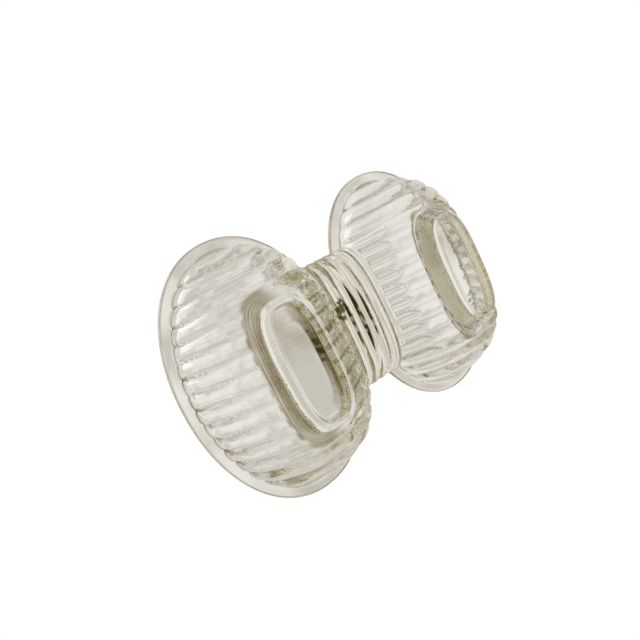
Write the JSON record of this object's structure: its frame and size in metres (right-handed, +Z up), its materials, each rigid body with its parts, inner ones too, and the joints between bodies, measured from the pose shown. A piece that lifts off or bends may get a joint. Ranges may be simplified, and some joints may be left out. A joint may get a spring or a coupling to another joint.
{
  "type": "twin glass table dish",
  "caption": "Clear pressed-glass table dish: oval ribbed bowls side by side on raised oval feet, joined by a ringed neck with a flat bridge plate.",
  "frame": {"origin": "midway between the two feet, on the plane that they stand on", "axes": "+X from the left bowl to the right bowl along the neck, +Y along each bowl's long axis, +Z up, out of the bowls"},
  "size_m": [0.1188, 0.0826, 0.0289],
  "materials": {
    "clear_glass": "clear pressed glass, smooth, with a faint straw tint"
  },
  "bodies": {
    "root": {"left_rim": "clear_glass", "right_rim": "clear_glass", "left_bowl": "clear_glass", "right_bowl": "clear_glass", "left_foot": "clear_glass", "right_foot": "clear_glass", "ringed_neck": "clear_glass", "bridge_plate": "clear_glass"}
  },
  "joints": []
}
